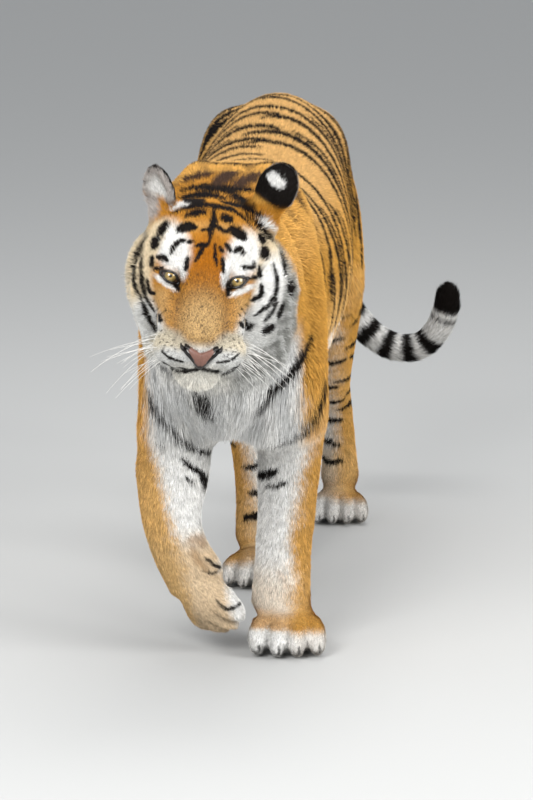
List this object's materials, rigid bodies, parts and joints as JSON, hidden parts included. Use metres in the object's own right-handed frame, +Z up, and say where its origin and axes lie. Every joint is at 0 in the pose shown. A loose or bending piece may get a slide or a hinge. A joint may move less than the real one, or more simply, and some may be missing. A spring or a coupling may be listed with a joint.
{
  "type": "walking tiger model",
  "caption": "Life-size walking tiger, head lowered and one forepaw lifted, with a striped orange, white and black coat and a ringed tail held to its left.",
  "frame": {"origin": "on the floor, under the middle of the model's box", "axes": "+Z up, -Y the way the tiger walks, +X towards its left side"},
  "size_m": [0.5792, 2.0752, 1.0108],
  "materials": {
    "coat": "dense short fur, orange with black stripes on the back and sides, white below",
    "nose_leather": "finely grained, slightly damp, pink edged with black",
    "eye": "wet and glossy, amber iris with a round black pupil"
  },
  "bodies": {
    "root": {"abdomen": "coat", "chest": "coat", "ear_left": "coat", "ear_right": "coat", "eye_left": "eye", "eye_right": "eye", "forearm_left": "coat", "forearm_right": "coat", "forefoot_left": "coat", "forefoot_right": "coat", "head": "coat", "hindfoot_left": "coat", "hindfoot_right": "coat", "hindquarters": "coat", "lower_jaw": "coat", "neck": "coat", "nose": "nose_leather", "shank_left": "coat", "shank_right": "coat", "tail_base": "coat", "tail_middle": "coat", "tail_tip": "coat", "thigh_left": "coat", "thigh_right": "coat", "upper_arm_left": "coat", "upper_arm_right": "coat"}
  },
  "joints": []
}
